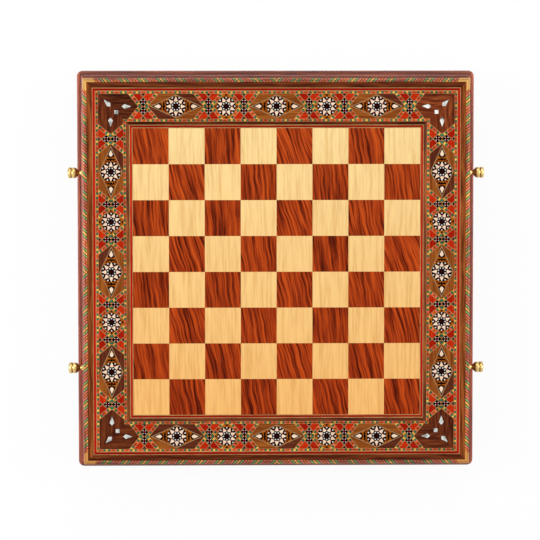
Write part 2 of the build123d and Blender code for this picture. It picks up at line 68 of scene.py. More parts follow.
# Distances out from the middle of the board, and sizes of the mosaic strip, in millimetres
INNER_BAND = (150.6, 153.2)
OUTER_BAND = (178.3, 180.9)
STRIP_IN = INNER_BAND[1]
STRIP_HALF = (OUTER_BAND[0] - STRIP_IN) / 2
STRIP_MIDDLE = STRIP_IN + STRIP_HALF
CHEVRON_BAND = 4.7
CHEVRON_RUN = 10.3
CROSS_GAP = 0.3
DIAMOND_HALF = 4.0
DIAMOND_FILL = (0.97, 0.84)
CELL_FLAT = 2.35
CORNER_TAIL = 4.65
LOZENGE_GAPS = (1.6, 0.75)
STAR_RADIUS = 9.75
STAR_HEART = (1.6, 1.0)
LOZENGE_STAR = 10.2
SLOPE = STRIP_HALF / CHEVRON_RUN
NOTCH = CHEVRON_BAND + CROSS_GAP
STAR_CELL = 2 * (NOTCH + CHEVRON_RUN + CELL_FLAT)
LAST_CROSS = STRIP_IN - CORNER_TAIL - CHEVRON_RUN - NOTCH
LOZENGE_CELL = (2 * LAST_CROSS - 2 * STAR_CELL) / 3
LOZENGE_STEP = LOZENGE_CELL + STAR_CELL
LOZENGE_TAIL = LOZENGE_CELL / 2 - NOTCH
LOZENGE_HALF = (LOZENGE_TAIL - LOZENGE_GAPS[0], STRIP_HALF - LOZENGE_GAPS[1])
CROSS_PLACES = [
    sign * place
    for place in (LOZENGE_CELL / 2, LOZENGE_CELL / 2 + STAR_CELL, LAST_CROSS)
    for sign in (-1, 1)
]
LOZENGE_PLACES = (-LOZENGE_STEP, 0, LOZENGE_STEP)
STAR_PLACES = (-LOZENGE_STEP / 2, LOZENGE_STEP / 2)

# Pearl drops and squares of the corners, in millimetres
PEARL_LENGTH = 10.5
PEARL_HALF_WIDTH = 2.65
PEARL_SHOULDER = 3.1
PEARL_ARM = 10.7
PEARL_CORNER = 0.3
PEARL_SQUARE = 4.4
PEARL_SQUARE_IN = 5.7

# Rope edging and its corner tips, in millimetres, with the steps of its rounding
ROPE_IN = 190.0
ROPE_OUT = 194.0
ROPE_LOW = TOP - 4.0
ROPE_ROUND = 1.6
ROPE_STEPS = 6
TIP_IN = 181.0
TIP_LEAN = 2.5
TIP_LINE = 192.3
TIP_GLUE = 0.3

# Knobs: radius in millimetres, steps round the axis, and degrees from which an edge stays sharp
KNOB_RADIUS = 5.65
KNOB_STEPS = 48
KNOB_EDGE = 25

# Felt: cuts each way, waves in millimetres, share of its full thickness, and degrees of a sharp edge
FELT_CUTS = 60
FELT_WAVES = (7, 9)
FELT_RISE = 0.08
FELT_SHARE = 0.8
FELT_EDGE = 40

SIDES = {"back": 0, "right": -90, "front": 180, "left": 90}

# Ground wedges of the three lozenges of a side: d for dark wood, g for golden
WEDGES = {
    "back": ("dggd", "gggg", "gggd"),
    "right": ("dggd", "gggg", "gggd"),
    "front": ("gdgg", "gdgg", "dddg"),
    "left": ("dgdd", "gggd", "ggdg"),
}

# Camera: its place and aim in millimetres, its roll and angle of view in degrees
CAMERA = (-45.3, 144.5, 2518.5)
AIM = (-6.7, 1.9, 60.0)
ROLL = -0.055
ANGLE = 12.55

# Places and widths of the lamps, width of the floor, in metres, and how white the floor shows
LAMPS = {
    "left": ((-1.6, 0.2, 1.5), 1.0),
    "right": ((1.6, 0.2, 1.5), 1.0),
    "back": ((0.0, 1.8, 1.4), 1.2),
}
FLOOR_SIZE = 8.0
FLOOR_GLOW = 0.93

# Dyes, their orders along bands and edging, and tesserae from a start of the order to a band's middle
DYES = ("green", "yellow", "coral", "russet")
BAND_ORDER = ("green", "yellow", "green", "coral", "russet", "coral")
BAND_START = 3.5
ROPE_ORDER = ("green", "coral", "russet", "coral", "green", "yellow")

# Pieces of a diamond from its middle to its tips: colour, and size as a share of one ninth
DIAMOND_PIECES = (("dark_red_wood", 1.4), ("bone", 0.42), ("ebony", 0.98))

# Fibres of wood: share in its tone, relief in strength and millimetres, and spread of the roughness
FIBRE_SHARE = 0.35
FIBRE_BUMP = 0.12
FIBRE_DEPTH = 0.1
SMOOTHER = 0.05
ROUGHER = 0.12

# Patterns: how long streaks and bends of wood are, metres between two cuts of veneer, stops of clouds
STREAK_STRETCH = 3
BEND_STRETCH = 9
CUT_SHIFT = 0.3
CLOUD_STOPS = (0.36, 0.5, 0.64)

# Brightness of the odd boards among the corner panels, and of the glue in a tip
LIGHT_BOARD = 1.6
DARK_BOARD = 0.72
GLUE_LINE = 0.55


def linear(code):
    """Linear colour of an sRGB hex code."""
    parts = [int(code[start:start + 2], 16) / 255 for start in (1, 3, 5)]
    return tuple(p / 12.92 if p <= 0.04045 else ((p + 0.055) / 1.055) ** 2.4 for p in parts) + (1.0,)


def hue(name, description, code):
    """A colour that a user may change, from its sRGB code."""
    return bpy.props.FloatVectorProperty(
        name=name, description=description, subtype="COLOR", min=0, max=1, default=linear(code)[:3])


class FinishSettings(bpy.types.PropertyGroup):
    """Middle colour of each finish."""

    rosewood_square: hue("Rosewood", "Dark squares", "#9A3611")
    maple_square: hue("Maple", "Light squares", "#F8D696")
    walnut_rim: hue("Walnut rim", "Rails of the top frame", "#5C2610")
    walnut_panel: hue("Walnut panels", "Corner panels", "#5D2712")
    golden_veneer: hue("Golden walnut", "Light wedges beside the lozenges", "#8E4A1A")
    dark_veneer: hue("Dark walnut", "Dark wedges beside the lozenges", "#5C2816")
    mahogany_plinth: hue("Mahogany", "Plinth moulding", "#7E3824")
    walnut_case: hue("Walnut case", "Walls and drawer fronts", "#6B3318")
    maple_tip: hue("Maple tips", "Corner tips of the edging", "#D09A50")
    red_line: hue("Red line", "Red stringing", "#901008")
    tan_line: hue("Tan line", "Tan stringing", "#B48654")
    red_wood: hue("Red", "Darker red kites of the crosses", "#A21A08")
    bright_red_wood: hue("Bright red", "Lighter red kites of the crosses", "#BC2A0C")
    black_bed: hue("Bed", "Dark glue bed between the small pieces", "#120704")
    ebony: hue("Ebony", "Black discs and spindles", "#080303")
    dark_red_wood: hue("Dark red", "Small dark red rhombi", "#5E0A0A")
    brown_wood: hue("Brown", "Dark surrounds of the drops", "#2C0A07")
    orange_wood: hue("Orange", "Ground inside the lozenges", "#AC580C")
    green_tessera: hue("Green tessera", "Green tesserae", "#356648")
    yellow_tessera: hue("Yellow tessera", "Yellow tesserae", "#ECA648")
    coral_tessera: hue("Coral tessera", "Coral tesserae", "#D4563F")
    russet_tessera: hue("Russet tessera", "Russet tesserae", "#AE420C")
    green_rope: hue("Green rope", "Green pieces of the edging", "#688448")
    yellow_rope: hue("Yellow rope", "Yellow pieces of the edging", "#CC8C3C")
    coral_rope: hue("Coral rope", "Coral pieces of the edging", "#BC5848")
    russet_rope: hue("Russet rope", "Russet pieces of the edging", "#B0561A")
    rope_bed: hue("Rope bed", "Brown glue between the pieces of the edging", "#481C09")
    pale_line: hue("Pale line", "Pale lines along the tesserae", "#C69860")
    grey_line: hue("Grey line", "Frames of the lozenges and diamonds", "#A07C58")
    bone: hue("Bone", "White rhombi of the stars", "#F2E8E0")
    cream_bone: hue("Cream bone", "Cream kites and drops", "#F8DABE")
    birch_plywood: hue("Plywood", "Panels inside the case", "#C8A068")
    sanded_beech: hue("Beech", "Drawer boxes and dividers", "#CC9A66")
    polished_shell: hue("Shell", "Pearl drops and squares of the corners", "#D2D2CC")
    turned_brass: hue("Brass", "Knobs and their nuts", "#E0C07C")
    zinc_steel: hue("Steel", "Screws under the base", "#B8BABC")
    pressed_felt: hue("Felt", "Linings of the drawers", "#1B5A3A")


def shades(colour, dark, light):
    """A darker and redder tone, the plain one, and a lighter and yellower one.

    Each is a share of the colour. A bend turns down the channels that are weak in it, or turns them up.
    """
    most = max(colour)
    return [
        tuple(min(1.0, share * part * (part / most) ** bend) for part, bend in zip(colour, bends)) + (1.0,)
        for share, bends in ((dark, (0.2, 0.2, 0.2)), (1.0, (0, 0, 0)), (light, (0, -0.12, 0)))
    ]


def connect(tree, node, links):
    """Sets each input to a value or joins it to an output."""
    for socket, value in links.items():
        if isinstance(value, bpy.types.NodeSocket):
            tree.links.new(value, node.inputs[socket])
        else:
            node.inputs[socket].default_value = value


def add(tree, kind, links=None, stops=None, **settings):
    """Adds one node with its settings and inputs, and gives its outputs."""
    node = tree.nodes.new("ShaderNode" + kind)
    for key, value in settings.items():
        setattr(node, key, value)
    connect(tree, node, links or {})
    if stops:
        elements = node.color_ramp.elements
        while len(elements) < len(stops):
            elements.new(0.5)
        for element, (position, colour) in zip(elements, stops):
            element.position = position
            element.color = colour
    return node.outputs


def blank(name, values):
    """A new material, its node tree and its shader, with plain values set on the shader's sockets."""
    material = bpy.data.materials.new(name)
    material.use_nodes = True
    tree = material.node_tree
    surface = tree.nodes["Principled BSDF"]
    connect(tree, surface, values)
    return material, tree, surface


def places(tree):
    """Place on the board, its axes, the distances from the middle, and 1 at the left and right ends."""
    place = add(tree, "TexCoord")["Object"]
    axes = add(tree, "SeparateXYZ", {0: place})
    away_x = add(tree, "Math", {0: axes[0]}, operation="ABSOLUTE")[0]
    away_y = add(tree, "Math", {0: axes[1]}, operation="ABSOLUTE")[0]
    at_ends = add(tree, "Math", {0: away_x, 1: away_y}, operation="GREATER_THAN")[0]
    return {"place": place, "axes": axes, "away": (away_x, away_y), "at_ends": at_ends}


def shade(material, spot, level, warmth=0.0):
    """Brightens or darkens a wood, and turns it more yellow, where a spot is 1."""
    tree = material.node_tree
    base = tree.nodes["Principled BSDF"].inputs["Base Color"]
    value = add(tree, "MapRange", {0: spot, 3: 1.0, 4: level})[0]
    turn = add(tree, "MapRange", {0: spot, 3: 0.5, 4: 0.5 + warmth})[0]
    changed = {"Hue": turn, "Value": value, "Color": base.links[0].from_socket}
    tree.links.new(add(tree, "HueSaturation", changed)[0], base)


def wood(name, colour, dark=0.5, light=1.6, contrast=0.16, run="round", grain=0.4, streak=16.0, figure=1.6,
         sway=4.0, gloss=0.32, shine=0.05, ends=1.0, warmth=0.0, cell=0.0, vary=0.0, tilt=0.0,
         turn=9.0, front=None):
    """Lacquered wood: long streaks of figure with fine grain over them, under a satin gloss.

    The grain runs along X, along Y, or round the frame, turning at each mitre. Sizes are in millimetres:
    grain and figure across, streak along, sway for how far the figure wanders. As painted light, the left
    and right sides are lighter by ends and yellower by warmth. With a cell, each square is cut anew: lighter
    by up to vary, and leaning by tilt, give or take turn. As painted shade, the front of the board is tinted
    darker by front.
    """
    material, tree, surface = blank(name, {"Specular IOR Level": shine})
    spot = places(tree)
    place, axes, at_ends = spot["place"], spot["axes"], spot["at_ends"]
    turned = add(tree, "CombineXYZ", {0: axes[1], 1: axes[0], 2: axes[2]})[0]
    along = turned if run == "y" else place
    if run == "round":
        along = add(tree, "Mix", {0: at_ends, 4: place, 5: turned}, data_type="VECTOR")[1]
    if cell:
        steps = add(tree, "VectorMath", {0: along, 3: 1 / (cell * MM)}, operation="SCALE")[0]
        number = add(tree, "VectorMath", {0: steps}, operation="FLOOR")[0]
        chance = add(tree, "TexWhiteNoise", {0: number}, noise_dimensions="3D")
        spread = {0: chance["Color"], 1: (CUT_SHIFT,) * 3, 2: along}
        along = add(tree, "VectorMath", spread, operation="MULTIPLY_ADD")[0]
        slant = {0: chance["Value"], 3: radians(tilt - turn), 4: radians(tilt + turn)}
        turned = {"Vector": along, "Angle": add(tree, "MapRange", slant)[0]}
        along = add(tree, "VectorRotate", turned, rotation_type="Z_AXIS")[0]
    drift = {"Vector": along, "Scale": 1 / (figure * BEND_STRETCH * MM), "Detail": 1.0}
    bent = {0: add(tree, "TexNoise", drift)["Color"], 1: (0, sway * MM, 0), 2: along}
    bent = add(tree, "VectorMath", bent, operation="MULTIPLY_ADD")[0]
    layers = []
    for lengthwise, across, detail in ((streak * STREAK_STRETCH, figure, 3.0), (streak, grain, 2.0)):
        scale = (1 / (lengthwise * MM), 1 / (across * MM), 1 / (across * MM))
        stretched = add(tree, "Mapping", {0: bent, "Scale": scale})[0]
        layers.append(add(tree, "TexNoise", {"Vector": stretched, "Scale": 1.0, "Detail": detail})[0])
    streaks, fibres = layers
    blend = add(tree, "Mix", {0: FIBRE_SHARE, 2: streaks, 3: fibres})[0]
    stops = list(zip((0.5 - contrast, 0.5, 0.5 + contrast), shades(colour, dark, light)))
    tone = add(tree, "ValToRGB", {0: blend}, stops=stops)[0]
    # Painted shade: the tone darkens towards the front of the board
    if front:
        share = {0: axes[1], 1: FIELD_HALF, 2: -FIELD_HALF, 3: 0.0, 4: 1.0}
        tint = {0: add(tree, "MapRange", share)[0], 6: tone, 7: linear(front)}
        tone = add(tree, "Mix", tint, data_type="RGBA", blend_type="MULTIPLY")[2]
    rough = add(tree, "MapRange", {0: fibres, 3: gloss - SMOOTHER, 4: gloss + ROUGHER})[0]
    bump = {"Height": fibres, "Strength": FIBRE_BUMP, "Distance": FIBRE_DEPTH * MM}
    bump = add(tree, "Bump", bump)[0]
    connect(tree, surface, {"Base Color": tone, "Roughness": rough, "Normal": bump})
    # Painted light: the left and right sides lighter and yellower, where the light catches the grain
    if ends != 1.0:
        shade(material, at_ends, ends, warmth)
    if vary:
        shade(material, chance["Value"], 1 + vary)
    return material


def mottled(name, colour, size, dark, light, rough, detail=2.0, bump=0.0, **values):
    """A material with cloudy tones and a roughness that follows them. Sizes are in millimetres."""
    material, tree, surface = blank(name, {key.replace("_", " "): value for key, value in values.items()})
    place = add(tree, "TexCoord")["Object"]
    clouds = {"Vector": place, "Scale": 1 / (size * MM), "Detail": detail}
    clouds = add(tree, "TexNoise", clouds)[0]
    stops = list(zip(CLOUD_STOPS, shades(colour, dark, light)))
    tone = add(tree, "ValToRGB", {0: clouds}, stops=stops)[0]
    level = add(tree, "MapRange", {0: clouds, 3: rough[0], 4: rough[1]})[0]
    connect(tree, surface, {"Base Color": tone, "Roughness": level})
    if bump:
        relief = {"Height": clouds, "Strength": 0.5, "Distance": bump * MM}
        connect(tree, surface, {"Normal": add(tree, "Bump", relief)[0]})
    return material


def walnut_panel(name, colour):
    """Walnut corner panels in two mitred halves, sawn and lacquered.

    The right back corner is from a lighter board, and half of the left back one from a darker board.
    """
    material = wood(name, colour, dark=0.4, light=1.9, streak=7.0, figure=2.2, contrast=0.13)
    tree = material.node_tree
    spot = places(tree)
    axes = spot["axes"]
    right = add(tree, "Math", {0: axes[0], 1: 0.0}, operation="GREATER_THAN")[0]
    back = add(tree, "Math", {0: axes[1], 1: 0.0}, operation="GREATER_THAN")[0]
    light = add(tree, "Math", {0: right, 1: back}, operation="MULTIPLY")[0]
    other = add(tree, "Math", {0: back, 1: right}, operation="SUBTRACT", use_clamp=True)[0]
    dark = add(tree, "Math", {0: other, 1: spot["at_ends"]}, operation="SUBTRACT", use_clamp=True)[0]
    shade(material, light, LIGHT_BOARD)
    shade(material, dark, DARK_BOARD)
    return material


def maple_tip(name, colour):
    """Maple tips of the edging, glued from two strips: glossy cream with a brown line along the middle."""
    # Painted light: lighter at the left and right sides, and painted shade: darker towards the front of the
    # board
    material = wood(name, colour, dark=0.6, light=1.4, figure=1.2, ends=1.25, gloss=0.2, shine=0.4,
                    front="#F0DCC8")
    tree = material.node_tree
    away_x, away_y = places(tree)["away"]
    out = add(tree, "Math", {0: away_x, 1: away_y}, operation="MAXIMUM")[0]
    glue = {0: out, 1: TIP_LINE * MM, 2: TIP_GLUE * MM}
    shade(material, add(tree, "Math", glue, operation="COMPARE")[0], GLUE_LINE)
    return material


# Small dyed veneers, sliced thin and lacquered flush: even colour with a faint grain
SMALL = dict(dark=0.65, light=1.4, grain=0.35, figure=1.2, shine=0.02)
# Tesserae, cut across dyed sticks: the tone changes from piece to piece and within one
TESSERA = dict(dark=0.45, light=1.7, grain=0.5, contrast=0.13)
# The rounded edge is rubbed to a gloss, so that the light runs along it. The left and right sides are also
# painted lighter, a painted highlight
ROPE = dict(dark=0.4, light=1.6, grain=0.5, contrast=0.13, gloss=0.16, shine=0.4, ends=1.45)

WOODS = {
    # Figured rosewood veneer, sliced: red brown with steep dark streaks, cut anew for every square
    # Painted shade: the squares darken towards the front of the board
    "rosewood_square": dict(
        dark=0.2, light=1.75, contrast=0.12, run="y", grain=0.55, streak=20.0, figure=2.4, sway=5.0,
        cell=36.0, vary=0.16, tilt=12, front="#F6E6DC"),
    # Pale maple veneer, sliced: cream yellow with fine upright flecks
    # Painted shade: the squares turn darker and more orange towards the front of the board
    "maple_square": dict(
        dark=0.88, light=1.06, contrast=0.12, run="y", grain=0.6, streak=14.0, figure=2.6, sway=1.0,
        cell=36.0, vary=0.02, turn=2, front="#FDDEBF"),
    # Walnut rails, planed and lacquered, with a flame figure: dark along the front and back; the left and
    # right rails are painted lighter and golden, a painted highlight
    "walnut_rim": dict(dark=0.4, light=1.9, contrast=0.12, figure=3.0, ends=2.0, warmth=0.008),
    # Walnut wedges, sliced: golden and dark boards with a plain fine grain
    "golden_veneer": dict(dark=0.5, light=1.5, figure=1.8),
    "dark_veneer": dict(dark=0.5, light=1.6, figure=1.8),
    # Mahogany moulding, run and polished: red brown with pinkish light bands along its steps; its left and
    # right sides are painted lighter, a painted highlight
    "mahogany_plinth": dict(
        dark=0.45, light=1.9, contrast=0.13, streak=24.0, figure=2.0, ends=1.9, gloss=0.24, shine=0.6),
    # Walnut boards of the case, planed: broad figure
    "walnut_case": dict(dark=0.45, light=1.7, grain=0.45, streak=30.0, figure=7.0, shine=0.3),
    # Stringing, sawn from dyed veneer: thin, nearly even lines; the red line is painted lighter along the
    # left and right sides, a painted highlight
    "red_line": dict(dark=0.7, light=1.3, figure=1.0, ends=1.7),
    "tan_line": dict(dark=0.6, light=1.4, figure=1.0),
    "pale_line": dict(dark=0.65, light=1.35, figure=1.0),
    "grey_line": dict(dark=0.65, light=1.35, figure=1.0),
    **dict.fromkeys(("red_wood", "bright_red_wood", "dark_red_wood", "brown_wood"), SMALL),
    **dict.fromkeys(("black_bed", "ebony"), SMALL),
    "orange_wood": dict(SMALL, dark=0.5, light=1.5),
    **{dye + "_tessera": TESSERA for dye in DYES},
    **{dye + "_rope": ROPE for dye in DYES},
    "rope_bed": ROPE,
    # Bone, sawn and polished: nearly white with faint lines
    "bone": dict(dark=0.84, light=1.06),
    "cream_bone": dict(dark=0.84, light=1.08),
    # Birch plywood and beech, sanded and unlacquered: matt, pale, with a quiet grain
    "birch_plywood": dict(dark=0.65, light=1.3, run="x", gloss=0.55, streak=40.0, figure=5.0),
    "sanded_beech": dict(dark=0.7, light=1.25, gloss=0.5, streak=20.0, figure=5.0),
}
MOTTLED = {
    # Mother-of-pearl, sawn from shell and polished: grey and white clouds under a bright gloss
    "polished_shell": dict(
        size=6.0, dark=0.45, light=1.5, rough=(0.14, 0.24), bump=0.1, Specular_IOR_Level=0.4),
    # Brass, turned on a lathe and polished: pale gold with a faint cloudy tarnish
    "turned_brass": dict(size=7.0, dark=0.85, light=1.1, rough=(0.26, 0.36), Metallic=1.0),
    # Zinc plated steel: pale grey with a fine mottled dullness
    "zinc_steel": dict(size=1.5, dark=0.7, light=1.3, rough=(0.3, 0.5), Metallic=1.0),
    # Pressed wool felt: matt green, mottled by matted fibres, drawn coarser than real ones so that they show
    "pressed_felt": dict(
        size=0.7, dark=0.4, light=1.7, rough=(0.9, 1.0), detail=4.0, bump=0.3, Sheen_Weight=0.4,
        Specular_IOR_Level=0.1),
}
BUILT_UP = {"walnut_panel": walnut_panel, "maple_tip": maple_tip}


def finish(name):
    """The material of that name, made from its colour when it is first asked for."""
    made = bpy.data.materials.get(name)
    if made:
        return made
    colour = tuple(getattr(bpy.context.scene.finishes, name))
    if name in BUILT_UP:
        return BUILT_UP[name](name, colour)
    if name in MOTTLED:
        return mottled(name, colour, **MOTTLED[name])
    return wood(name, colour, **WOODS[name])


NODE_FINISHES = {
    "dark_squares": "rosewood_square",
    "light_squares": "maple_square",
    "corner_panels": "walnut_panel",
    "edge_corner_tips": "maple_tip",
    "field_red_stringing": "red_line",
    "field_tan_stringing": "tan_line",
    "base_screws": "zinc_steel",
    "base_panel": "birch_plywood",
    "field_panel": "birch_plywood",
    "mitre_splines": "birch_plywood",
    "centre_partition": "sanded_beech",
    "wall_dowels": "sanded_beech",
    "frame_rail": "walnut_rim",
    "plinth": "mahogany_plinth",
    "wall": "walnut_case",
}
DRAWER_FINISHES = {
    "front": "walnut_case",
    "bottom": "birch_plywood",
    "knob_nuts": "turned_brass",
}


def node_finish(node):
    """Finish of one node, by its name or by the name that its group starts with."""
    if node.startswith("drawer_"):
        return DRAWER_FINISHES.get(node.split("_", 2)[2], "sanded_beech")
    return NODE_FINISHES.get(node) or NODE_FINISHES.get(node.rsplit("_", 1)[0])


def pick(*pieces):
    """Selects only these pieces, with the first one active."""
    bpy.ops.object.select_all(action="DESELECT")
    for piece in pieces:
        piece.select_set(True)
    bpy.context.view_layer.objects.active = pieces[0]


def edit(piece):
    """Opens one piece in edit mode with all of it selected."""
    pick(piece)
    bpy.ops.object.mode_set(mode="EDIT")
    bpy.ops.mesh.select_mode(type="VERT")
    bpy.ops.mesh.select_all(action="SELECT")


def done():
    """Turns all faces outwards and closes edit mode."""
    bpy.ops.mesh.select_all(action="SELECT")
    bpy.ops.mesh.normals_make_consistent(inside=False)
    bpy.ops.object.mode_set(mode="OBJECT")


def outline_face(points):
    """A flat face with its corners at the given points, in millimetres."""
    bpy.ops.mesh.primitive_circle_add(vertices=len(points), radius=MM, fill_type="NGON")
    piece = bpy.context.object
    for vertex, point in zip(piece.data.vertices, points):
        vertex.co = Vector(point) * MM
    return piece


def cut(outline, colour, low=BED, high=TOP, gap=0.0, ring=0.0):
    """Cuts one flat piece of inlay to an outline, set back by a gap, or leaves only a ring of it."""
    piece = outline_face([(u, v, low) for u, v in outline])
    edit(piece)
    if gap or ring:
        bpy.ops.mesh.select_mode(type="FACE")
        bpy.ops.mesh.inset(thickness=(gap or ring) * MM)
        if gap:
            bpy.ops.mesh.select_all(action="INVERT")
        bpy.ops.mesh.delete(type="FACE")
        bpy.ops.mesh.select_all(action="SELECT")
    bpy.ops.mesh.extrude_region_move(TRANSFORM_OT_translate={"value": (0, 0, (high - low) * MM)})
    done()
    piece.data.materials.append(finish(colour))
    return piece


def slice_off(piece, point, normal):
    """Saws off what lies beyond a plane, and closes the cut."""
    edit(piece)
    bpy.ops.mesh.bisect(plane_co=Vector(point) * MM, plane_no=normal, use_fill=True, clear_outer=True)
    done()


def twin(piece, move):
    """A copy of a piece with its own mesh, moved by a matrix."""
    other = piece.copy()
    other.data = piece.data.copy()
    other.data.transform(move)
    if move.is_negative:
        other.data.flip_normals()
    bpy.context.collection.objects.link(other)
    return other


def move_by(u, v=0.0):
    """A move over the board, in millimetres."""
    return Matrix.Translation((u * MM, v * MM, 0))


def turn_by(degrees):
    """A turn about the middle of the board."""
    return Matrix.Rotation(radians(degrees), 4, "Z")


STAY = Matrix.Identity(4)
ACROSS = Matrix.Diagonal((-1, 1, 1, 1))
OVER = Matrix.Diagonal((1, -1, 1, 1))


def join(pieces, name):
    """Joins pieces into one object."""
    pick(*pieces)
    if len(pieces) > 1:
        bpy.ops.object.join()
    pieces[0].name = name
    pieces[0].data.name = name
    return pieces[0]


def drop(*pieces):
    """Deletes patterns that were only copied from."""
    pick(*pieces)
    bpy.ops.object.delete()


def repeat(piece, count, step):
    """Repeats a piece along its side with an array."""
    pick(piece)
    array = piece.modifiers.new("row", "ARRAY")
    array.count = count
    array.use_relative_offset = False
    array.use_constant_offset = True
    array.constant_offset_displace = (step * MM, 0, 0)
    bpy.ops.object.modifier_apply(modifier=array.name)


def give(piece, slot, *nodes):
    """Fixes a finished piece to the case, in place of the CAD nodes that it shows."""
    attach(piece, "case")
    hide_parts(*nodes)


def lay_round(pattern, moves, name, slot, *nodes):
    """Lays copies of a pattern on each side of the board, joined to one piece for each side."""
    for side, angle in SIDES.items():
        copies = [twin(pattern, turn_by(angle) @ move) for move in moves]
        give(join(copies, name + side), slot, *nodes)
    drop(pattern)


def rectangle(u0, u1, v0, v1):
    """Corners of a rectangle."""
    return [(u0, v0), (u1, v0), (u1, v1), (u0, v1)]


def setting(name, description, default, unit="NONE"):
    """A value that a user may change."""
    return bpy.props.FloatProperty(name=name, description=description, default=default, unit=unit)


def length(name, description, millimetres):
    """A size that a user may change."""
    return setting(name, description, millimetres * MM, "LENGTH")


class InlaySettings(bpy.types.PropertyGroup):
    """Sizes of the small inlaid pieces."""

    tessera: length("Tessera", "Length of one tessera of the straight bands", 2.25)
    joint: length("Joint", "Dark joint between two tesserae", 0.25)
    band_line: length("Band line", "Pale line along a straight band of tesserae", 0.27)
    chevron_tessera: length("Chevron tessera", "Length of one tessera of the crosses", 2.1)
    chevron_line: length("Chevron line", "Pale line along a chevron of the crosses", 0.45)
    cross_line: length("Cross line", "Line round the diamonds of a cross", 0.85)
    lozenge_line: length("Lozenge line", "Frame of a lozenge", 0.8)
    # Painted shadow: a dark line round each pearl
    pearl_shadow_line: length("Pearl line", "Dark glue line round a pearl", 0.26)
    red_string: length("Red string", "Red line between the tan lines of the border", 2.3)
    rope: length("Rope piece", "Width of one slanted piece of the edging", 3.16)
    rope_joint: length("Rope joint", "Dark joint between two rope pieces", 1.1)
    rope_lean: setting("Rope lean", "How far a rope piece leans along the edge for its width", 0.92)


class StageSettings(bpy.types.PropertyGroup):
    """Light and floor round the board."""

    backdrop: hue("Backdrop", "Colour of the floor", "#FFFFFF")
    left_light: setting("Left light", "Power of the lamp left of the board", 19.0, "POWER")
    right_light: setting("Right light", "Power of the lamp right of the board", 13.4, "POWER")
    back_light: setting("Back light", "Power of the lamp behind the board", 11.4, "POWER")
    sky: setting("Sky", "Strength of the light from all round", 0.43)


class CHESS_OT_finish_wood(bpy.types.Operator):
    """Gives every carried-over piece its wood or metal"""

    bl_idname = "chess.finish_wood"
    bl_label = "Finish the Wood"

    def execute(self, context):
        for name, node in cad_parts.items():
            chosen = node_finish(name)
            if chosen:
                for slot in node.material_slots:
                    slot.material = finish(chosen)
        return {"FINISHED"}


def tessera_row(numbers, ends, edges, pitch, joint, line, seam, gap):
    """A row of tesserae in the order of their colours, between two pale lines."""
    low, high = edges
    parts = []
    for number in numbers:
        tile = (number * pitch + joint, (number + 1) * pitch, low + line + seam, high - line - seam)
        parts.append(cut(rectangle(*tile), BAND_ORDER[number % len(BAND_ORDER)] + "_tessera"))
    parts.append(cut(rectangle(*ends, low + gap, low + line), "pale_line"))
    parts.append(cut(rectangle(*ends, high - line, high - gap), "pale_line"))
    return parts


class CHESS_OT_lay_bands(bpy.types.Operator):
    """Lays the inner and the outer band of tesserae, mitred at the corners"""

    bl_idname = "chess.lay_bands"
    bl_label = "Lay the Tessera Bands"

    def execute(self, context):
        for node, (low, high) in (("inner_tessera_band", INNER_BAND), ("outer_tessera_band", OUTER_BAND)):
            self.lay(context.scene.inlay, node, low, high)
        return {"FINISHED"}

    def lay(self, sizes, node, low, high):
        pitch, joint, line = sizes.tessera / MM, sizes.joint / MM, sizes.band_line / MM
        period = pitch * len(BAND_ORDER)
        parts = [cut(rectangle(0, period, low, high), "black_bed", BED_LOW, BED)]
        numbers = range(len(BAND_ORDER))
        parts += tessera_row(numbers, (0, period), (low, high), pitch, joint, line, SEAM, HAIR)
        band = join(parts, node)
        count = 2 * int(high / period + 1)
        repeat(band, count, period)
        band.data.transform(move_by(-count / 2 * period - BAND_START * pitch))
        slice_off(band, (0, 0, 0), (1, -1, 0))
        slice_off(band, (0, 0, 0), (-1, -1, 0))
        lay_round(band, [STAY], node.replace("_band", "e_"), "tessera_mix", node)


class CHESS_OT_lay_strings(bpy.types.Operator):
    """Lays the tan, red and tan stringing round the border, mitred at the corners"""

    bl_idname = "chess.lay_strings"
    bl_label = "Lay the Border Stringing"

    def execute(self, context):
        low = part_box("border_red_stringing")[0][2] / MM
        start, end = OUTER_BAND[1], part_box("border_tan_stringing")[1][0] / MM
        red = context.scene.inlay.red_string / MM
        tan_width = (end - start - red) / 2
        lines = []
        for colour, out, width in (
            ("red_line", end - tan_width, red),
            ("tan_line", end, tan_width),
            ("tan_line", start + tan_width, tan_width),
        ):
            lines.append(cut(rectangle(-out, out, -out, out), colour, low, TOP, ring=width))
        lines[0].name = "border_red_string"
        give(lines[0], "red_dyed_wood", "border_red_stringing")
        give(join(lines[1:], "border_tan_strings"), "tan_stringing", "border_tan_stringing")
        return {"FINISHED"}


